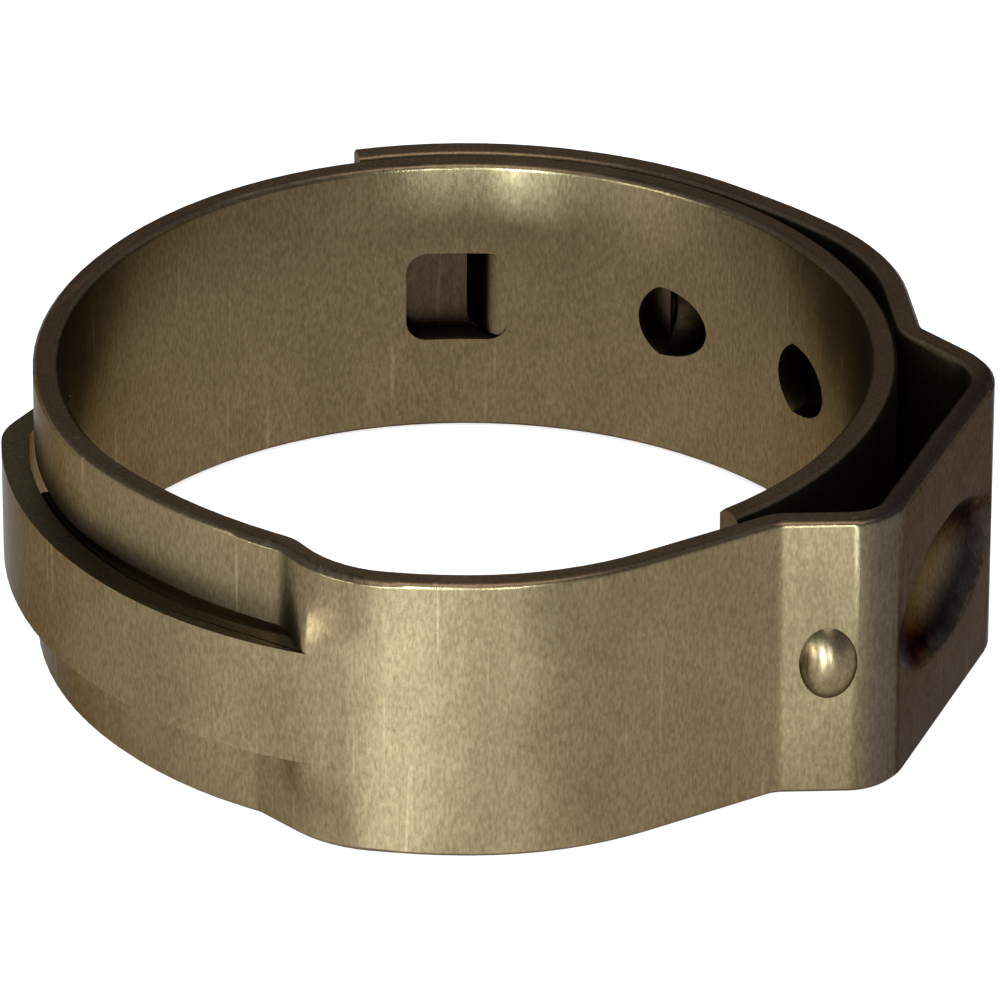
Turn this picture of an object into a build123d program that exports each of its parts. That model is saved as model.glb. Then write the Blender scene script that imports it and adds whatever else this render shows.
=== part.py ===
from build123d import *
from math import cos, degrees, radians, sin, sqrt
import os

# Stepless one-ear hose clamp: one stainless strip, bent round until it laps on itself.
# Millimetres and degrees. The ring stands on its rim: its axis is +Z, its centre is the
# origin, and angles in plan are counted anticlockwise from +X. The strip is followed
# clockwise: lapped free end, hump, ear, front wall, tongue channel, base ring, shoulder,
# tongue. Radii of the strip's route are those of the middle of its thickness.

# ---- strip ----
bore_d = 18.5                # hose size, inner diameter of the open clamp
strip_w = 7.0
strip_t = 0.6
rim_edge = 0.14              # broken edges of the strip's rims
layer_gap = 0.05             # between two layers that lie on each other

# ---- lap ----
lap_end_angle = 104.5        # free end of the outer layer
lift_angle = 51.0            # outer layer leaves the inner one
lift_run = 1.6               # straight run from there to the hump's first bend
hump_rise = 0.63             # crest of the hump above the lap, at its sharp corner
hump_angle = 27.1
hump_start_bend_r = 14.0
hump_bend_r = 5.0

# ---- ear ----
ear_angle = -21.5            # direction that the ear points in
ear_rise = 1.8               # crown above the base ring
crown_back_l = 3.75          # from the ear's middle to the crown's sharp corners
crown_front_l = 3.55
back_foot_angle = 7.2
front_foot_angle = -47.7
foot_bend_r = 0.9
back_corner_bend_r = 1.5
front_corner_bend_r = 1.1
dimple_l = 6.4
dimple_w = 3.3
dimple_depth = 0.7
dimple_skin = 0.55
pip_w = 1.3                  # pip pressed out of the front leg
pip_h = 1.8
pip_rise = 0.4
pip_skin = 0.35
pip_along = 0.5              # its place on the leg, as a share of foot to corner
pip_drop = 0.1               # below mid width

# ---- front wall ----
wall_bend_run = 2.2          # from the wall's lowest point to its bend towards the ear
wall_bend_r = 7.6
rim_fall_angle = -99.0       # rims leave the channel's arc
rim_fall_run = 1.4
rim_fall_bend_r = 2.8

# ---- tongue channel ----
channel_w = 2.8
channel_gap = 0.15           # over the tongue
slit_w = 0.08
slit_start_angle = -110.0
crease_angle = -121.0        # rims have reached the rails' arc
crease_run = 0.5
crease_bend_r = 0.9
channel_end_angle = -178.0   # channel begins to come down to the ring
ring_start_angle = -191.0    # strip is one plain width again
channel_end_run = 0.45
channel_end_bend_r = 1.2
upper_rail_sag = 0.2         # the upper rail is pressed in, the lower one is not
lower_rail_sag = 0.0
rail_sag_mid_angle = -131.0
rail_sag_half_span = 27.0

# ---- inner layer and tongue ----
shoulder_angle = -51.5       # full width ends
tongue_w = 2.6
tongue_end_angle = -150.0
tongue_tip_r = 1.1           # its two rounded corners
inner_sag = 0.2              # inner layer is pressed in by the front wall
inner_sag_mid_angle = -52.0
inner_sag_half_span = 72.0

# ---- hooks and windows ----
load_hook_angles = (60.5, 34.6)   # cut lips of the two half-dome hooks
lip_bow = 0.55                    # bowed gap that the cut leaves in front of a lip
hole_corner_r = 0.5               # corners of the windows and of the guide's hole
dome_l = 1.3
dome_w = 1.8                      # inside, and twice the dome's inside rise
dome_t = 0.45
window_w = 3.1
window_l = 2.25
lip_gap = 0.1                     # from a lip to the window's edge that pulls on it
guide_hole_start_angle = 98.5
guide_hole_l = 2.4
guide_hole_w = 2.3
guide_tab_w = 2.1
guide_tab_t = 0.5
guide_tab_top_angle = 92.0        # tab has reached the outside of the lap
guide_tab_tip_angle = 96.0
guide_tab_run = 0.3
guide_tab_bend_r = 0.45
guide_window_w = 2.5
guide_window_start_angle = 90.0
guide_window_l = 1.3

# ---- worked out ----
bore_r = bore_d / 2
base_r = bore_r + strip_t / 2
lap_r = base_r + strip_t + layer_gap
channel_r = base_r + strip_t + channel_gap
crown_r = base_r + ear_rise
rim_z = strip_w / 2
channel_z = channel_w / 2
between_layers_r = base_r + (strip_t + layer_gap) / 2
outside_r = crown_r + 3 * strip_t
guide_tab_r = lap_r + (strip_t + guide_tab_t) / 2 + layer_gap
guide_hole_end_angle = guide_hole_start_angle - degrees(guide_hole_l / base_r)


def at(radius, angle):
    """The point at a radius and an angle in plan."""
    return Vector(radius * cos(radians(angle)), radius * sin(radians(angle)))


def clockwise(angle):
    """The direction of clockwise travel round the ring at an angle."""
    return Vector(sin(radians(angle)), -cos(radians(angle)))


def sag_shift(sag, half_span):
    """How far the centres of a sagging stretch's three tangent arcs lie from the ring's."""
    return sag / (2 * (1 - cos(radians(half_span / 2))))


def sag_middle(sag, mid, half_span, start, end):
    """The flat middle arc of a sagging stretch, clockwise from start to end."""
    shift = sag_shift(sag, half_span)
    return CenterArc(at(-shift, mid), base_r - sag + shift, start, end - start)


def sag_side(sag, side, half_span, start, end):
    """The tight arc that joins a sagging stretch to the ring at the angle named side."""
    shift = sag_shift(sag, half_span)
    return CenterArc(at(shift, side), base_r - shift, start, end - start)


def across(line, place=0):
    """The plane square to a route, with its X up the strip's width and Y through it."""
    return Plane(origin=line @ place, x_dir=(0, 0, 1), z_dir=line % place)


def strip_section(plane, low=-rim_z, high=rim_z):
    """The strip's section from one height to another, with its rims' rolled edges."""
    with BuildSketch(plane) as section:
        Rectangle(strip_w, strip_t)
        chamfer(section.vertices(), rim_edge)
        with Locations(((low + high) / 2, 0)):
            Rectangle(high - low, 2 * strip_t, mode=Mode.INTERSECT)
    return section.sketch


def sector(inner, outer, start, end):
    """A face in plan between two radii and two angles."""
    with BuildSketch() as face:
        with BuildLine():
            CenterArc((0, 0), outer, start, end - start)
            CenterArc((0, 0), inner, start, end - start)
            Line(at(inner, start), at(outer, start))
            Line(at(inner, end), at(outer, end))
        make_face()
    return face.sketch


# ---- routes ----
ear_out = at(1, ear_angle)
ear_along = clockwise(ear_angle)
back_corner = ear_out * crown_r - ear_along * crown_back_l
front_corner = ear_out * crown_r + ear_along * crown_front_l
front_foot = at(lap_r, front_foot_angle)
wall_foot = at(channel_r, -90)

with BuildLine() as outer_route:
    CenterArc((0, 0), lap_r, lap_end_angle, lift_angle - lap_end_angle)
    FilletPolyline(
        at(lap_r, lift_angle),
        at(lap_r, lift_angle) + clockwise(lift_angle) * lift_run,
        at(lap_r + hump_rise, hump_angle),
        at(lap_r, back_foot_angle),
        back_corner,
        front_corner,
        front_foot,
        wall_foot + Vector(wall_bend_run, 0),
        wall_foot,
        radius=(
            hump_start_bend_r,
            hump_bend_r,
            foot_bend_r,
            back_corner_bend_r,
            front_corner_bend_r,
            foot_bend_r,
            wall_bend_r,
        ),
    )


def rail_route(sag):
    """A rim's route: off the channel's arc, down to the ring and round it below the channel."""
    side = rail_sag_mid_angle - rail_sag_half_span
    turn = rail_sag_mid_angle - rail_sag_half_span / 2
    with BuildLine() as route:
        rail = sag_middle(sag, rail_sag_mid_angle, rail_sag_half_span, crease_angle, turn)
        sag_side(sag, side, rail_sag_half_span, turn, side)
        CenterArc((0, 0), base_r, side, ring_start_angle - side)
        CenterArc((0, 0), channel_r, -90, rim_fall_angle + 90)
        FilletPolyline(
            at(channel_r, rim_fall_angle),
            at(channel_r, rim_fall_angle) + clockwise(rim_fall_angle) * rim_fall_run,
            rail @ 0 - (rail % 0) * crease_run,
            rail @ 0,
            radius=(rim_fall_bend_r, crease_bend_r),
        )
    return route.line


with BuildLine() as channel_route:
    CenterArc((0, 0), channel_r, -90, channel_end_angle + 90)
    FilletPolyline(
        at(channel_r, channel_end_angle),
        at(channel_r, channel_end_angle) + clockwise(channel_end_angle) * channel_end_run,
        at(base_r, ring_start_angle) - clockwise(ring_start_angle) * channel_end_run,
        at(base_r, ring_start_angle),
        radius=channel_end_bend_r,
    )

inner_sag_start = inner_sag_mid_angle + inner_sag_half_span
inner_sag_turn = inner_sag_mid_angle + inner_sag_half_span / 2
inner_sag_return = inner_sag_mid_angle - inner_sag_half_span / 2
inner_sag_end = inner_sag_mid_angle - inner_sag_half_span
with BuildLine() as inner_route:
    CenterArc((0, 0), base_r, 360 + ring_start_angle, inner_sag_start - 360 - ring_start_angle)
    sag_side(inner_sag, inner_sag_start, inner_sag_half_span, inner_sag_start, inner_sag_turn)
    sag_middle(inner_sag, inner_sag_mid_angle, inner_sag_half_span, inner_sag_turn, shoulder_angle)

with BuildLine() as tongue_route:
    sag_middle(inner_sag, inner_sag_mid_angle, inner_sag_half_span, shoulder_angle, inner_sag_return)
    sag_side(inner_sag, inner_sag_end, inner_sag_half_span, inner_sag_return, inner_sag_end)
    CenterArc((0, 0), base_r, inner_sag_end, tongue_end_angle - inner_sag_end)

with BuildLine() as guide_tab_route:
    FilletPolyline(
        at(base_r, guide_hole_end_angle) + clockwise(guide_hole_end_angle) * guide_tab_bend_r,
        at(base_r, guide_hole_end_angle) - clockwise(guide_hole_end_angle) * guide_tab_run,
        at(guide_tab_r, guide_tab_top_angle) + clockwise(guide_tab_top_angle) * guide_tab_run,
        at(guide_tab_r, guide_tab_top_angle),
        radius=guide_tab_bend_r,
    )
    CenterArc((0, 0), guide_tab_r, guide_tab_top_angle, guide_tab_tip_angle - guide_tab_top_angle)


# ---- tools that cut and form the strip ----
def dome(tip_angle, skin):
    """Half an ellipsoid outside the bore, from its cut lip running clockwise."""
    lip = Plane(origin=at(bore_r, tip_angle), x_dir=clockwise(tip_angle), z_dir=(0, 0, 1))
    length = dome_l + skin
    rise = dome_w / 2 + skin
    with BuildPart() as half:
        with BuildSketch(lip):
            Ellipse(length, rise)
            with Locations((length / 2, rise / 2)):
                Rectangle(length, rise, mode=Mode.INTERSECT)
        revolve(axis=Axis(lip.origin, lip.x_dir))
        Cylinder(bore_r, strip_w, mode=Mode.SUBTRACT)
    return half.part


def layer_opening(start, length, width, corner_r, outer_layer):
    """A rounded hole through one of the two layers, from an angle running clockwise."""
    mid = start - degrees(length / 2 / base_r)
    with BuildPart() as opening:
        with BuildSketch(Plane(origin=at(base_r - strip_t, mid), x_dir=clockwise(mid), z_dir=at(1, mid))):
            RectangleRounded(length, width, corner_r)
        extrude(amount=4 * strip_t)
        Cylinder(
            between_layers_r,
            strip_w,
            mode=Mode.SUBTRACT if outer_layer else Mode.INTERSECT,
        )
    return opening.part


def bowed_gap(tip_angle):
    """The sliver of a circle cut from the inner layer in front of a dome's lip."""
    curve_r = ((dome_w / 2) ** 2 + lip_bow**2) / (2 * lip_bow)
    lip = Plane(origin=at(base_r - strip_t, tip_angle), x_dir=clockwise(tip_angle), z_dir=at(1, tip_angle))
    with BuildPart() as gap:
        with BuildSketch(lip):
            with Locations((curve_r - lip_bow, 0)):
                Circle(curve_r)
            with Locations((-lip_bow / 2, 0)):
                Rectangle(lip_bow, dome_w, mode=Mode.INTERSECT)
        extrude(amount=2 * strip_t)
        Cylinder(between_layers_r, strip_w, mode=Mode.INTERSECT)
    return gap.part


def tongue_corners():
    """What rounding the tongue's tip takes away."""
    tip = Plane(
        origin=at(base_r - strip_t, tongue_end_angle),
        x_dir=clockwise(tongue_end_angle),
        z_dir=at(1, tongue_end_angle),
    )
    with BuildPart() as corners:
        with BuildSketch(tip):
            Rectangle(2 * tongue_tip_r, tongue_w + slit_w)
            with Locations((-2 * tongue_tip_r, 0)):
                RectangleRounded(4 * tongue_tip_r, tongue_w, tongue_tip_r, mode=Mode.SUBTRACT)
        extrude(amount=2 * strip_t)
        Cylinder(between_layers_r, strip_w, mode=Mode.INTERSECT)
    return corners.part


def dimple(skin):
    """A shallow boat shape sunk into the crown, or the swelling it makes below with a skin."""
    curve_r = ((dimple_w / 2) ** 2 + dimple_depth**2) / (2 * dimple_depth)
    middle = ear_out * (crown_r + strip_t / 2)
    crown_face = Plane(origin=middle, x_dir=ear_along, z_dir=(0, 0, 1))
    top = curve_r - dimple_depth
    with BuildPart() as boat:
        with BuildSketch(crown_face):
            with BuildLine():
                ThreePointArc(
                    (-dimple_l / 2, -skin),
                    (0, -dimple_depth - skin),
                    (dimple_l / 2, -skin),
                )
                Polyline(
                    (-dimple_l / 2, -skin),
                    (-dimple_l / 2, top),
                    (dimple_l / 2, top),
                    (dimple_l / 2, -skin),
                )
            make_face()
        revolve(axis=Axis(middle + ear_out * top, ear_along))
        if skin:
            split(bisect_by=Plane(origin=ear_out * crown_r, z_dir=-ear_out), keep=Keep.TOP)
    return boat.part


def pip(skin):
    """The egg-shaped pip on the front leg, or its hollow with a skin."""
    run = (front_foot - front_corner).normalized()
    out = Vector(-run.Y, run.X)
    curve_r = ((pip_w / 2) ** 2 + pip_rise**2) / (2 * pip_rise)
    stretch = (pip_h / 2) / sqrt(curve_r**2 - (curve_r - pip_rise) ** 2)
    middle = front_foot + (front_corner - front_foot) * pip_along
    centre = middle + out * (strip_t / 2 + pip_rise - curve_r) - Vector(0, 0, pip_drop)
    radius = curve_r - skin
    with BuildPart() as egg:
        with BuildSketch(Plane(origin=centre, x_dir=(0, 0, 1), z_dir=run)):
            Ellipse(radius * stretch, radius)
            with Locations((0, radius / 2)):
                Rectangle(2 * radius * stretch, radius, mode=Mode.INTERSECT)
        revolve(axis=Axis(centre, (0, 0, 1)))
        if not skin:
            with Locations(Plane(origin=middle, z_dir=out)):
                Box(
                    2 * pip_h,
                    2 * pip_h,
                    2 * pip_h,
                    align=(Align.CENTER, Align.CENTER, Align.MIN),
                    mode=Mode.INTERSECT,
                )
    return egg.part


with BuildPart() as slits:
    for low in (channel_z, -channel_z - slit_w):
        with BuildSketch(Plane.XY.offset(low)):
            add(sector(bore_r - strip_t, outside_r, slit_start_angle, ring_start_angle))
    extrude(amount=slit_w)

lap_turn = degrees(1 / lap_r)
windows = [
    layer_opening(angle + lip_gap * lap_turn, window_l, window_w, hole_corner_r, True)
    for angle in load_hook_angles
]
guide_window = layer_opening(
    guide_window_start_angle, guide_window_l, guide_window_w, hole_corner_r, True
)
guide_hole = layer_opening(
    guide_hole_start_angle, guide_hole_l, guide_hole_w, hole_corner_r, False
)
bowed_gaps = [bowed_gap(angle) for angle in load_hook_angles]
domes = [dome(angle, dome_t) for angle in load_hook_angles]
dome_hollows = [dome(angle, 0) for angle in load_hook_angles]
dimple_swelling = dimple(dimple_skin)
dimple_hollow = dimple(0)
pip_body = pip(0)
pip_hollow = pip(pip_skin)

# ---- the clamp ----
with BuildPart() as clamp:
    for route, low, high in (
        (outer_route.line, -rim_z, rim_z),
        (rail_route(upper_rail_sag), channel_z, rim_z),
        (rail_route(lower_rail_sag), -rim_z, -channel_z),
        (channel_route.line, -channel_z, channel_z),
        (inner_route.line, -rim_z, rim_z),
        (tongue_route.line, -tongue_w / 2, tongue_w / 2),
    ):
        sweep(strip_section(across(route), low, high), path=route)
    add(slits.part, mode=Mode.SUBTRACT)
    add(tongue_corners(), mode=Mode.SUBTRACT)
    add([*windows, guide_window, guide_hole], mode=Mode.SUBTRACT)
    add(domes)
    add([*dome_hollows, *bowed_gaps], mode=Mode.SUBTRACT)
    with BuildSketch(across(guide_tab_route.line)):
        Rectangle(guide_tab_w, guide_tab_t)
    sweep(path=guide_tab_route.line)
    add(dimple_swelling)
    add(dimple_hollow, mode=Mode.SUBTRACT)
    add(pip_body)
    add(pip_hollow, mode=Mode.SUBTRACT)

clamp.part.label = "clamp_band"
os.makedirs("parts", exist_ok=True)
export_step(clamp.part, "parts/clamp_band.step")
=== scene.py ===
import math
from contextlib import contextmanager

import bmesh
import bpy
import numpy as np
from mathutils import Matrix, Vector


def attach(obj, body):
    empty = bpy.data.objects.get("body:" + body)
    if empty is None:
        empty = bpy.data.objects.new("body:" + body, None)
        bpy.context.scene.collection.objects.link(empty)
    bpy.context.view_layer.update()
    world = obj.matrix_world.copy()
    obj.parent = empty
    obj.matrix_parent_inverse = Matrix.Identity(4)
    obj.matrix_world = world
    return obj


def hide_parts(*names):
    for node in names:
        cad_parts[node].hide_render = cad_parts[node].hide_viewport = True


# Looks for a stepless one-ear hose clamp. Metres. The ring's axis is +Z and the clamp stands on its rim.
# The ear points towards +X and -Y, the front wall with the tongue channel faces -Y. Angles in plan are
# counted from +X.

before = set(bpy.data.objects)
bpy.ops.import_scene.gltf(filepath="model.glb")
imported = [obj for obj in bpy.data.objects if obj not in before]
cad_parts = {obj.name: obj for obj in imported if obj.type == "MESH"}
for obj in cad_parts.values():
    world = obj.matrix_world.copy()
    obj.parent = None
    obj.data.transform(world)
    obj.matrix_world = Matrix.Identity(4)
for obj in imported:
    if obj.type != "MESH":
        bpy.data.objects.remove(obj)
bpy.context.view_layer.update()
MM = 0.001

# ---- sizes of the strip that its solid has too ----
BORE_R = 9.25 * MM
STRIP_T = 0.6 * MM
RIM_Z = 3.5 * MM
RIM_EDGE = 0.14 * MM
CHANNEL_Z = 1.4 * MM
CHANNEL_OUTER_R = 10.6 * MM
SLIT_W = 0.08 * MM
SLIT_START = math.radians(-110)
EAR_ANGLE = math.radians(-21.5)
CROWN_OUTER = 11.65 * MM
DIMPLE_HALF_L = 3.2 * MM
DIMPLE_HALF_W = 1.65 * MM

# ---- drawn metal between the channel and its rails ----
DRAW_START_X = -1.95 * MM
DRAW_END_X = -4.6 * MM
DRAW_STEP_X = 0.1 * MM
DRAW_REACH_Z = 2.9 * MM
# Heights of its cuts, in mm. The last two lie past its reach and keep the rims' edges out of its shading.
DRAW_LEVELS = (1.48, 1.6, 1.75, 1.95, 2.15, 2.4, 2.65, 2.9, 3.34, 3.38)
# The front wall lies beyond this Y.
FRONT_Y = -7 * MM
# The rim lines are looked for between these. From RIM_FALL_X on, the rims leave the channel's arc.
RIM_SEARCH_X = (-5.4 * MM, -1.2 * MM)
RIM_FALL_X = -2 * MM
RIM_FALL = 0.13 / MM
# Past this angle a rail is free of the channel. The slit starts with this share of its width.
RAIL_FREE = math.radians(-114)
SLIT_LEAST = 0.12

# ---- tongue ----
# Its half width and outer radius are a hair more than those of its skin.
TONGUE_HALF_W = 1.31 * MM
TONGUE_OUTER_R = 9.9 * MM
TONGUE_FROM = math.radians(-139)
TONGUE_TO = math.radians(-152)
STRETCH_START = math.radians(-141)
STRETCH_END = math.radians(-146)
STRETCH_CUTS = 11
TONGUE_SLIDE = math.radians(20)

# ---- how near two places count as one ----
NEAR = 0.01 * MM
CLOSE = 0.005 * MM
SAME_ANGLE = 1e-3
WELD = 0.006 * MM
SLIVER = 0.002 * MM
ON_PLANE = 1e-8
FLAT_ANGLE = math.radians(0.3)
SHARP_ANGLE = math.radians(52)
BROAD_FACE_WEIGHT = 80

# ---- steel ----
STEEL_DARK = (0.05, 0.029, 0.0135, 1)
STEEL_PALE = (0.28, 0.209, 0.113, 1)
STEEL_EDGE_TINT = (0.38, 0.36, 0.36, 1)
STEEL_ROUGHNESS = (0.335, 0.355)
STEEL_ANISOTROPY = 0.6
# Painted shade multiplied into the colour: the rims' tops, the crown, its dimple and the hooks' holes.
PAINTED_SHADE_TINTS = (
    ("Rim", (1.0, 0.84, 0.88, 1)),
    ("Crown", (0.5, 0.52, 0.7, 1)),
    ("Soot", (0.2, 0.2, 0.3, 1)),
    ("Pierced", (0.42, 0.37, 0.4, 1)),
)
# Scales of the noises, a metre, along X, Y and Z.
FINE_GRAIN = (14000, 14000, 5200)
CLOUDS = (650, 650, 480)
SCRATCHES = (5200, 5200, 230)
RAGGED_EDGE = (1200, 1200, 1200)
GRAIN_MAP = "grain_direction"
GRAIN_MAP_R = 10 * MM
GRAIN_STRENGTH = 0.25
GRAIN_DEPTH = 0.012 * MM

# ---- stage ----
FLOOR_REACH = 3.0
FLOOR_GREY = (0.8, 0.8, 0.8, 1)
FLOOR_LIFT = 0.78
SKY_COLOUR = (0.66, 0.8, 1, 1)
SKY_STRENGTH = 0.42
# Each lamp's name, azimuth and elevation in degrees, distance, width and height, watts and colour.
SOFTBOXES = (
    ("front_softbox", -105, 3, 0.35, (0.035, 0.03), 2.4, (0.72, 0.91, 1.0)),
    ("leg_softbox", -80, 3, 0.35, (0.025, 0.03), 0.8, (0.76, 0.92, 1.0)),
    ("left_softbox", -142, 6, 0.35, (0.14, 0.05), 0.7, (0.86, 0.95, 1.0)),
    ("top_softbox", -90, 80, 0.5, (0.3, 0.3), 0.9, (1.0, 0.97, 0.93)),
)
CAMERA_ELEVATION = math.radians(29.304)
CAMERA_DISTANCE = 254.81 * MM
CAMERA_LENS = 400.8
CAMERA_SENSOR_W = 36.0
CAMERA_SHIFT = (0.0342, -0.0121)
CAMERA_CLIP = (0.01, 10.0)


def link(obj):
    bpy.context.scene.collection.objects.link(obj)
    return obj


def eased(share):
    """Smoothstep: 0 up to 0, 1 from 1, and three squares less two cubes between."""
    share = np.clip(share, 0.0, 1.0)
    return share * share * (3 - 2 * share)


def through_points(x, xs, ys):
    """A smooth line through points: a cubic between each pair, with the slopes of its neighbours."""
    slopes = np.gradient(ys, xs)
    slopes[1:-1] = (ys[2:] - ys[:-2]) / (xs[2:] - xs[:-2])
    span = np.clip(np.searchsorted(xs, x) - 1, 0, len(xs) - 2)
    width = xs[span + 1] - xs[span]
    t = np.clip((x - xs[span]) / width, 0, 1)
    start = (1 + 2 * t) * (1 - t) ** 2 * ys[span] + t * (1 - t) ** 2 * width * slopes[span]
    end = t**2 * (3 - 2 * t) * ys[span + 1] + t**2 * (t - 1) * width * slopes[span + 1]
    return start + end


# ---- reading and changing a mesh ----
def corners_of(piece):
    """The corners of a mesh as rows of x, y and z."""
    corners = np.empty(len(piece.data.vertices) * 3)
    piece.data.vertices.foreach_get("co", corners)
    return corners.reshape(-1, 3)


def place_corners(piece, corners):
    """Moves the corners of a mesh to rows of x, y and z."""
    piece.data.vertices.foreach_set("co", corners.reshape(-1))
    piece.data.update()


def loop_corners(mesh):
    """The index of the corner that each of a mesh's loops starts from."""
    loops = np.empty(len(mesh.loops), np.int64)
    mesh.loops.foreach_get("vertex_index", loops)
    return loops


@contextmanager
def opened(piece):
    """A piece's mesh opened for cutting and joining, and written back afterwards."""
    work = bmesh.new()
    work.from_mesh(piece.data)
    yield work
    work.to_mesh(piece.data)
    work.free()


def cut(work, chosen, point, normal):
    """Cuts the faces whose middles are chosen along a plane."""
    faces = [face for face in work.faces if chosen(*face.calc_center_median())]
    edges = list({edge for face in faces for edge in face.edges})
    corners = list({corner for face in faces for corner in face.verts})
    geometry = corners + edges + faces
    bmesh.ops.bisect_plane(work, geom=geometry, dist=ON_PLANE, plane_co=point, plane_no=normal)


# ---- strip ----
def welded_copy(node, name):
    """A copy of a node whose loose triangles share their corners, as one closed skin.

    Corners that agree to a tenth of a micron get one index. Triangles left without an area go.
    """
    corners = corners_of(node)
    whole = np.round(corners * 1e7).astype(np.int64)
    _, first, index = np.unique(whole, axis=0, return_index=True, return_inverse=True)
    faces = index.reshape(-1)[loop_corners(node.data)].reshape(-1, 3)
    kept = (faces[:, 0] != faces[:, 1]) & (faces[:, 1] != faces[:, 2]) & (faces[:, 2] != faces[:, 0])
    mesh = bpy.data.meshes.new(name)
    mesh.from_pydata(corners[first].tolist(), [], faces[kept].tolist())
    return link(bpy.data.objects.new(name, mesh))


def join_flat_faces(piece):
    """Joins triangles that lie in one plane, so that each flat face is one face."""
    with opened(piece) as work:
        bmesh.ops.dissolve_limit(
            work,
            angle_limit=FLAT_ANGLE,
            use_dissolve_boundaries=False,
            verts=work.verts[:],
            edges=work.edges[:],
        )


def rim_lines(corners, side):
    """One rim's outer and inner lines over the drawn metal, each as x and y, read from the solid's corners.

    They are the corners at the foot of the rim's broken edge. How deep one lies below the channel's
    arc tells the outer line from the inner one, which is a strip's thickness deeper. Past RIM_FALL_X
    the depth that parts them grows with the square of the distance in X, as the rims fall.
    """
    x, y, z = corners.T
    start, end = RIM_SEARCH_X
    near = (np.abs(z - side * (RIM_Z - RIM_EDGE)) < CLOSE) & (y < 0) & (x < end) & (x > start)
    foot = corners[near]
    foot = foot[np.argsort(foot[:, 0])]
    x, y, _ = foot.T
    depth = CHANNEL_OUTER_R - np.hypot(x, y)
    is_outer = depth < STRIP_T / 2 + RIM_FALL * (x - RIM_FALL_X) ** 2
    return (x[is_outer], y[is_outer]), (x[~is_outer], y[~is_outer])


def in_drawn_zone(x, y, z):
    """Whether a place lies on the rails beside the channel, where their metal is drawn."""
    return (
        DRAW_END_X - 0.4 * MM < x < DRAW_START_X + 0.3 * MM
        and y < FRONT_Y
        and CHANNEL_Z - 0.02 * MM < abs(z) < RIM_Z - NEAR
    )


def cut_drawn_zone(piece):
    """Cuts the skin of the drawn zone at its heights and at each step of X, so that it can bend."""
    cuts = [((0, 0, side * level * MM), (0, 0, 1)) for level in DRAW_LEVELS for side in (-1, 1)]
    cuts += [((x, 0, 0), (1, 0, 0)) for x in np.arange(DRAW_END_X, DRAW_START_X, DRAW_STEP_X)]
    with opened(piece) as work:
        for point, normal in cuts:
            cut(work, in_drawn_zone, point, normal)


def draw_rims(piece):
    """Turns the sheared step beside the channel into drawn metal that leads smoothly to the rims.

    In the drawn zone a corner of a rail moves along Y by the gap between the channel's arc and
    the rail's own line at that x. Its share eases from the whole beside the channel to nothing
    at the zone's reach, and dies away past the slit's start. The slit is shut up to its start,
    and opens to its full width as that share dies away.
    """
    solid = corners_of(piece)
    cut_drawn_zone(piece)
    corners = corners_of(piece)
    x, y, z = corners.T
    angle = np.arctan2(y, x)
    arc_out = -np.sqrt(np.maximum(CHANNEL_OUTER_R**2 - x**2, 0))
    arc_in = -np.sqrt(np.maximum((CHANNEL_OUTER_R - STRIP_T) ** 2 - x**2, 0))
    beside = (y < FRONT_Y) & (x < DRAW_START_X + NEAR) & (x > DRAW_END_X)
    uncut = angle > SLIT_START - SAME_ANGLE
    opening = eased((SLIT_START - angle) / (SLIT_START - RAIL_FREE))
    parted = np.where(uncut, 0, SLIT_LEAST + (1 - SLIT_LEAST) * opening)
    for side in (-1, 1):
        rail_out, rail_in = (through_points(x, *line) for line in rim_lines(solid, side))
        is_rail = beside & (z * side > CHANNEL_Z - CLOSE) & (np.abs(z) < RIM_Z - RIM_EDGE + CLOSE)
        lip = is_rail & (angle < SLIT_START + SAME_ANGLE) & (np.abs(np.abs(z) - CHANNEL_Z - SLIT_W) < NEAR)
        z[lip] = side * (CHANNEL_Z + SLIT_W * parted)[lip]
        share = (1 - eased((np.abs(z) - CHANNEL_Z) / (DRAW_REACH_Z - CHANNEL_Z))) * (1 - opening)
        at_edge = np.abs(np.abs(z) - CHANNEL_Z) < NEAR
        on_channel = at_edge & (np.minimum(np.abs(y - arc_out), np.abs(y - arc_in)) < 2 * NEAR)
        outer = is_rail & ~on_channel & (np.abs(y - rail_out) < np.abs(y - rail_in))
        inner = is_rail & ~on_channel & ~outer
        y[outer] = (rail_out + (arc_out - rail_out) * share)[outer]
        y[inner] = (rail_in + (arc_in - rail_in) * share)[inner]
        joined = is_rail & at_edge & uncut
        y[joined] = np.where(np.abs(y - arc_out) < np.abs(y - arc_in), arc_out, arc_in)[joined]
    place_corners(piece, corners)
    with opened(piece) as work:
        bmesh.ops.remove_doubles(work, verts=work.verts[:], dist=WELD)
        bmesh.ops.dissolve_degenerate(work, dist=SLIVER, edges=work.edges[:])


def in_tongue(x, y, z):
    """Whether places belong to the last stretch of the tongue."""
    angle = np.arctan2(y, x)
    within = (angle > TONGUE_TO) & (angle < TONGUE_FROM) & (np.abs(z) < TONGUE_HALF_W)
    return within & (np.hypot(x, y) < TONGUE_OUTER_R)


def slide_tongue(piece):
    """Slides the tongue deeper into its channel, so that no light falls through the slits.

    From the stretch's start to its end the tongue's angle about the ring's axis is drawn out in
    proportion, and from there on the tongue is turned by the whole slide.
    """
    with opened(piece) as work:
        for angle in np.linspace(STRETCH_START, STRETCH_END, STRETCH_CUTS):
            cut(work, in_tongue, (0, 0, 0), (-math.sin(angle), math.cos(angle), 0))
    corners = corners_of(piece)
    moved = in_tongue(*corners.T)
    x, y, _ = corners[moved].T
    turn = -TONGUE_SLIDE * np.clip((STRETCH_START - np.arctan2(y, x)) / (STRETCH_START - STRETCH_END), 0, 1)
    corners[moved, 0] = x * np.cos(turn) - y * np.sin(turn)
    corners[moved, 1] = x * np.sin(turn) + y * np.cos(turn)
    place_corners(piece, corners)


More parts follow.
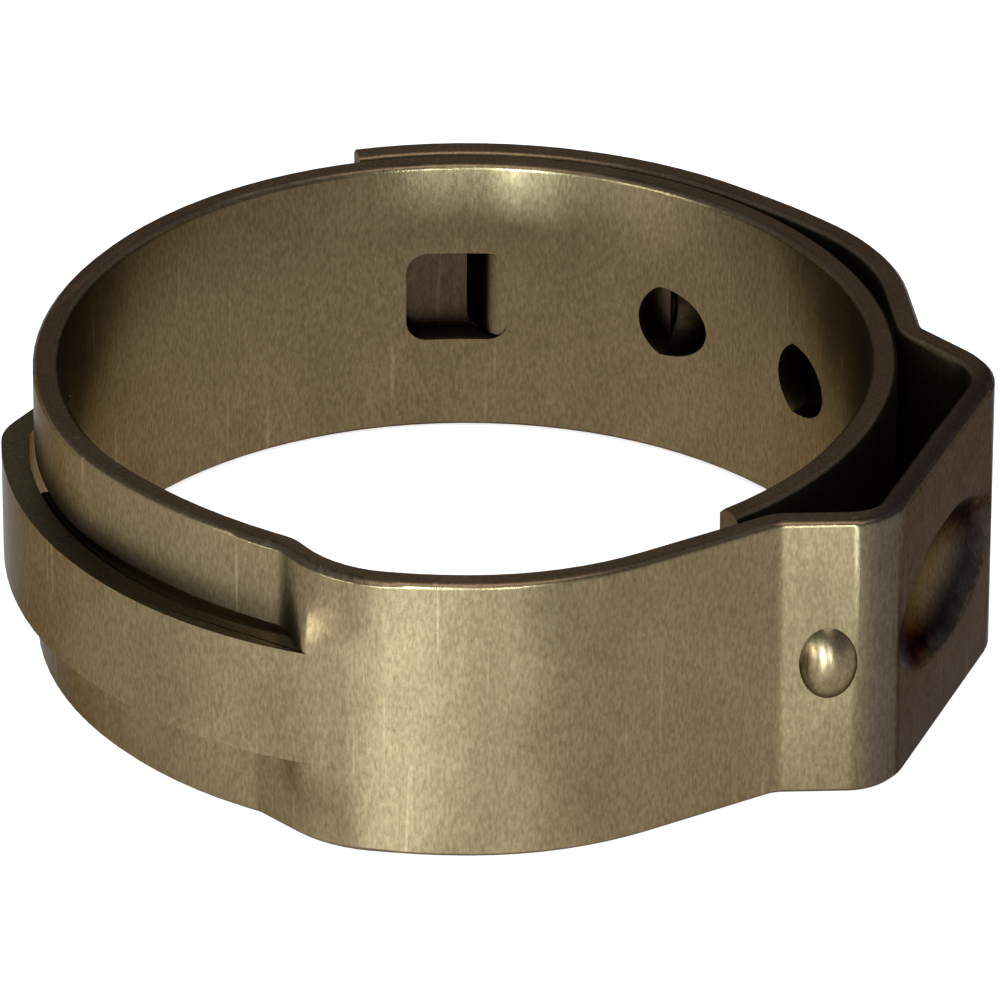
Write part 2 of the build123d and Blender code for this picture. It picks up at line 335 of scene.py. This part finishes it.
def lay_grain(piece):
    """Gives the skin a map for the direction of its grain.

    U runs with the height, plus half the radius, so that flat rims have it too. V runs with the
    angle about the ring's axis, unrolled at each face's own middle, so no face tears at the half
    turn, plus a tenth of the radius.
    """
    mesh = piece.data
    counts = np.empty(len(mesh.polygons), np.int64)
    mesh.polygons.foreach_get("loop_total", counts)
    middles = np.empty(len(mesh.polygons) * 3)
    mesh.polygons.foreach_get("center", middles)
    middles = middles.reshape(-1, 3)
    middle_angle = np.repeat(np.arctan2(middles[:, 1], middles[:, 0]), counts)
    x, y, z = corners_of(piece)[loop_corners(mesh)].T
    turn = np.arctan2(y, x) - middle_angle
    turn = (turn + np.pi) % (2 * np.pi) - np.pi
    radius = np.hypot(x, y)
    places = np.column_stack((z + 0.5 * radius, GRAIN_MAP_R * (middle_angle + turn) + 0.1 * radius))
    layer = mesh.uv_layers.new(name=GRAIN_MAP)
    layer.data.foreach_set("uv", (places / GRAIN_MAP_R).astype(np.float32).reshape(-1))


def soften_edges(piece):
    """Shades the strip smoothly between its sharp edges, with its broad faces leading."""
    piece.data.shade_smooth()
    piece.data.set_sharp_from_angle(angle=SHARP_ANGLE)
    weigh = piece.modifiers.new("broad_faces_lead", "WEIGHTED_NORMAL")
    weigh.mode = "FACE_AREA"
    weigh.weight = BROAD_FACE_WEIGHT
    weigh.keep_sharp = True


# ---- finish ----
def new_group(name, kind, *labels):
    """An empty node group with outputs of one socket type, and its nodes, links and end."""
    group = bpy.data.node_groups.new(name, "ShaderNodeTree")
    for label in labels:
        group.interface.new_socket(label, in_out="OUTPUT", socket_type=kind)
    return group, group.nodes, group.links, group.nodes.new("NodeGroupOutput")


def use_group(nodes, group):
    """A node that stands for a group."""
    node = nodes.new("ShaderNodeGroup")
    node.node_tree = group
    return node


def stretched_noise(nodes, links, scale, detail, roughness=0.5):
    """Noise in the strip's own space, with a scale per metre along X, Y and Z."""
    place = nodes.new("ShaderNodeTexCoord")
    mapping = nodes.new("ShaderNodeMapping")
    mapping.inputs["Scale"].default_value = scale
    noise = nodes.new("ShaderNodeTexNoise")
    noise.inputs["Scale"].default_value = 1.0
    noise.inputs["Detail"].default_value = detail
    noise.inputs["Roughness"].default_value = roughness
    links.new(place.outputs["Object"], mapping.inputs["Vector"])
    links.new(mapping.outputs["Vector"], noise.inputs["Vector"])
    return noise.outputs["Fac"]


def from_range(nodes, links, value, low, high, to_low=0.0, to_high=1.0, smooth=False):
    """Maps a value from one range to another, held at the ends."""
    node = nodes.new("ShaderNodeMapRange")
    node.interpolation_type = "SMOOTHSTEP" if smooth else "LINEAR"
    for label, number in (("From Min", low), ("From Max", high), ("To Min", to_low), ("To Max", to_high)):
        node.inputs[label].default_value = number
    links.new(value, node.inputs["Value"])
    return node.outputs["Result"]


def combine(nodes, links, operation, first, second):
    """A sum, product or the like of two values. A plain number may stand for the second."""
    node = nodes.new("ShaderNodeMath")
    node.operation = operation
    links.new(first, node.inputs[0])
    if isinstance(second, (int, float)):
        node.inputs[1].default_value = second
    else:
        links.new(second, node.inputs[1])
    return node.outputs[0]


def product(nodes, links, first, *others):
    """Several values multiplied together."""
    for other in others:
        first = combine(nodes, links, "MULTIPLY", first, other)
    return first


def along(nodes, links, vector, axis):
    """How far a position lies along an axis."""
    node = nodes.new("ShaderNodeVectorMath")
    node.operation = "DOT_PRODUCT"
    links.new(vector, node.inputs[0])
    node.inputs[1].default_value = axis
    return node.outputs["Value"]


def from_axis(nodes, links, vector):
    """How far a position lies from the ring's axis."""
    flat = nodes.new("ShaderNodeVectorMath")
    flat.operation = "MULTIPLY"
    flat.inputs[1].default_value = (1, 1, 0)
    links.new(vector, flat.inputs[0])
    reach = nodes.new("ShaderNodeVectorMath")
    reach.operation = "LENGTH"
    links.new(flat.outputs["Vector"], reach.inputs[0])
    return reach.outputs["Value"]


def rolled_grain():
    """Fine grain of the rolled strip along its width, over soft cloudy mottling and a few long scratches."""
    group, nodes, links, end = new_group("rolled_grain", "NodeSocketFloat", "Tone", "Roughness", "Height")
    fine = stretched_noise(nodes, links, FINE_GRAIN, 3.0, 0.6)
    cloudy = stretched_noise(nodes, links, CLOUDS, 2.0)
    lines = stretched_noise(nodes, links, SCRATCHES, 1.0)
    scratch = from_range(nodes, links, lines, 0.70, 0.76)
    fine_tone = from_range(nodes, links, fine, 0.25, 0.75, 0.74, 1.26)
    cloud_tone = from_range(nodes, links, cloudy, 0.3, 0.7, 0.93, 1.07)
    tone = product(nodes, links, fine_tone, cloud_tone)
    brightening = product(nodes, links, scratch, 0.3)
    groove = product(nodes, links, scratch, -0.5)
    links.new(combine(nodes, links, "ADD", tone, brightening), end.inputs["Tone"])
    links.new(from_range(nodes, links, cloudy, 0.3, 0.7, *STEEL_ROUGHNESS), end.inputs["Roughness"])
    links.new(combine(nodes, links, "ADD", fine, groove), end.inputs["Height"])
    return group


def painted_shade_masks():
    """Masks of painted shade: the sheared rims' tops, the pinched crown and, darkest, the crown's dimple.

    Pierced, painted shade in the hooks' holes, is what lies just outside the bore on the lap's side, at the
    height of the hooks' holes.
    Left of the lap, where the strip is one layer, that takes in the strip's outer face too.
    """
    labels = [label for label, _ in PAINTED_SHADE_TINTS]
    group, nodes, links, end = new_group("painted_shade_masks", "NodeSocketFloat", *labels)
    place = nodes.new("ShaderNodeTexCoord").outputs["Object"]
    parts = nodes.new("ShaderNodeSeparateXYZ")
    links.new(place, parts.inputs[0])
    height = combine(nodes, links, "ABSOLUTE", parts.outputs["Z"], 0.0)
    # Painted shade: the rims' top faces tinted browner.
    rim = from_range(nodes, links, height, RIM_Z - 0.12 * MM, RIM_Z - 0.02 * MM)

    outward = along(nodes, links, place, (math.cos(EAR_ANGLE), math.sin(EAR_ANGLE), 0))
    sideways = along(nodes, links, place, (-math.sin(EAR_ANGLE), math.cos(EAR_ANGLE), 0))
    # Painted shade: the crown made darker.
    crown = from_range(nodes, links, outward, CROWN_OUTER - 0.9 * MM, CROWN_OUTER - 0.2 * MM, smooth=True)
    # Painted shade: the crown's dimple made near black.
    across = product(nodes, links, sideways, 1 / DIMPLE_HALF_L)
    upright = product(nodes, links, parts.outputs["Z"], 1 / DIMPLE_HALF_W)
    across, upright = (product(nodes, links, share, share) for share in (across, upright))
    ragged = stretched_noise(nodes, links, RAGGED_EDGE, 2.0)
    spread = combine(nodes, links, "ADD", across, upright)
    spread = combine(nodes, links, "ADD", spread, from_range(nodes, links, ragged, 0.3, 0.7, -0.12, 0.12))
    dimple_shade = product(nodes, links, from_range(nodes, links, spread, 1.15, 0.5, smooth=True), crown)

    # Painted shade in the hooks' holes and the recessed tabs behind them.
    radius = from_axis(nodes, links, place)
    pierced = product(
        nodes,
        links,
        from_range(nodes, links, radius, BORE_R + 0.05 * MM, BORE_R + 0.2 * MM),
        from_range(nodes, links, radius, BORE_R + 0.8 * MM, BORE_R + 0.7 * MM),
        from_range(nodes, links, parts.outputs["Y"], 3.5 * MM, 4 * MM),
        from_range(nodes, links, height, 1.85 * MM, 1.75 * MM),
    )
    for label, painted_shade in (("Rim", rim), ("Crown", crown), ("Soot", dimple_shade), ("Pierced", pierced)):
        links.new(painted_shade, end.inputs[label])
    return group


def steel_colour(grain_group, painted_shade_group):
    """The strip's warm grey-brown over its grain, browner and darker with painted shade, near black in the
    dimple.
    """
    group, nodes, links, end = new_group("steel_colour", "NodeSocketColor", "Colour")
    grain, painted_shade = use_group(nodes, grain_group), use_group(nodes, painted_shade_group)
    tones = nodes.new("ShaderNodeValToRGB")
    for stop, place, colour in zip(tones.color_ramp.elements, (0.0, 1.0), (STEEL_DARK, STEEL_PALE)):
        stop.position, stop.color = place, colour
    links.new(from_range(nodes, links, grain.outputs["Tone"], 0.4, 1.7), tones.inputs["Fac"])
    colour = tones.outputs["Color"]
    for label, tint in PAINTED_SHADE_TINTS:
        mix = nodes.new("ShaderNodeMix")
        mix.data_type = "RGBA"
        mix.blend_type = "MULTIPLY"
        links.new(painted_shade.outputs[label], mix.inputs["Factor"])
        links.new(colour, mix.inputs["A"])
        mix.inputs["B"].default_value = tint
        colour = mix.outputs["Result"]
    links.new(colour, end.inputs["Colour"])
    return group


def strip_steel():
    """Warm brushed stainless: metal throughout, with a grain that is felt as well as seen."""
    grain_group = rolled_grain()
    colour_group = steel_colour(grain_group, painted_shade_masks())
    material = bpy.data.materials.new("strip_steel")
    material.use_nodes = True
    nodes, links = material.node_tree.nodes, material.node_tree.links
    shader = nodes["Principled BSDF"]
    shader.inputs["Metallic"].default_value = 1.0
    shader.inputs["Specular Tint"].default_value = STEEL_EDGE_TINT
    shader.inputs["Anisotropic"].default_value = STEEL_ANISOTROPY
    colour, grain = use_group(nodes, colour_group), use_group(nodes, grain_group)
    bump = nodes.new("ShaderNodeBump")
    bump.inputs["Strength"].default_value = GRAIN_STRENGTH
    bump.inputs["Distance"].default_value = GRAIN_DEPTH
    direction = nodes.new("ShaderNodeTangent")
    direction.direction_type = "UV_MAP"
    direction.uv_map = GRAIN_MAP
    links.new(colour.outputs["Colour"], shader.inputs["Base Color"])
    links.new(grain.outputs["Roughness"], shader.inputs["Roughness"])
    links.new(grain.outputs["Height"], bump.inputs["Height"])
    links.new(bump.outputs["Normal"], shader.inputs["Normal"])
    links.new(direction.outputs["Tangent"], shader.inputs["Tangent"])
    return material


# ---- stage ----
def add_floor():
    """A floor that is seen straight on, in metal and through glass as white, less the clamp's own shadow."""
    mesh = bpy.data.meshes.new("floor")
    corners = [(x * FLOOR_REACH, y * FLOOR_REACH, -RIM_Z) for x, y in ((-1, -1), (1, -1), (1, 1), (-1, 1))]
    mesh.from_pydata(corners, [], [(0, 1, 2, 3)])
    floor = link(bpy.data.objects.new("floor", mesh))
    material = bpy.data.materials.new("floor_white")
    material.use_nodes = True
    nodes, links = material.node_tree.nodes, material.node_tree.links
    shader = nodes["Principled BSDF"]
    shader.inputs["Base Color"].default_value = FLOOR_GREY
    shader.inputs["Roughness"].default_value = 0.9
    shader.inputs["Specular IOR Level"].default_value = 0.0
    shader.inputs["Emission Color"].default_value = (1, 1, 1, 1)
    path = nodes.new("ShaderNodeLightPath")
    seen = combine(nodes, links, "MAXIMUM", path.outputs["Is Camera Ray"], path.outputs["Is Glossy Ray"])
    seen = combine(nodes, links, "MAXIMUM", seen, path.outputs["Is Transmission Ray"])
    links.new(product(nodes, links, seen, FLOOR_LIFT), shader.inputs["Emission Strength"])
    mesh.materials.append(material)


def add_softbox(name, azimuth, elevation, distance, size, power, colour):
    """A rectangular lamp that looks at the clamp from an azimuth and elevation in degrees."""
    data = bpy.data.lights.new(name, "AREA")
    data.shape = "RECTANGLE"
    data.size, data.size_y = size
    data.energy = power
    data.color = colour
    lamp = link(bpy.data.objects.new(name, data))
    turn, lift = math.radians(azimuth), math.radians(elevation)
    place = Vector((math.cos(lift) * math.cos(turn), math.cos(lift) * math.sin(turn), math.sin(lift)))
    place *= distance
    lamp.location = place
    lamp.rotation_euler = (-place).to_track_quat("-Z", "Y").to_euler()


def add_light():
    """Small low softboxes for the walls, a broad one above for the rims, and a pale sky."""
    for softbox in SOFTBOXES:
        add_softbox(*softbox)
    world = bpy.data.worlds.new("studio")
    world.use_nodes = True
    sky = world.node_tree.nodes["Background"]
    sky.inputs["Color"].default_value = SKY_COLOUR
    sky.inputs["Strength"].default_value = SKY_STRENGTH
    bpy.context.scene.world = world
    bpy.context.scene.view_settings.view_transform = "Standard"


def add_camera():
    """A long lens that looks down at the clamp from the -Y side."""
    data = bpy.data.cameras.new("product_camera")
    data.lens = CAMERA_LENS
    data.sensor_width = CAMERA_SENSOR_W
    data.shift_x, data.shift_y = CAMERA_SHIFT
    data.clip_start, data.clip_end = CAMERA_CLIP
    camera = link(bpy.data.objects.new("product_camera", data))
    level, rise = math.cos(CAMERA_ELEVATION), math.sin(CAMERA_ELEVATION)
    camera.location = (0, -CAMERA_DISTANCE * level, CAMERA_DISTANCE * rise)
    camera.rotation_euler = (math.pi / 2 - CAMERA_ELEVATION, 0, 0)
    bpy.context.scene.camera = camera


# ---- the clamp ----
steel = strip_steel()
strip = welded_copy(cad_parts["clamp_band"], "clamp_strip")
join_flat_faces(strip)
draw_rims(strip)
slide_tongue(strip)
lay_grain(strip)
soften_edges(strip)
strip.data.materials.append(steel)
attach(strip, "root")
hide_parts("clamp_band")

add_floor()
add_light()
add_camera()
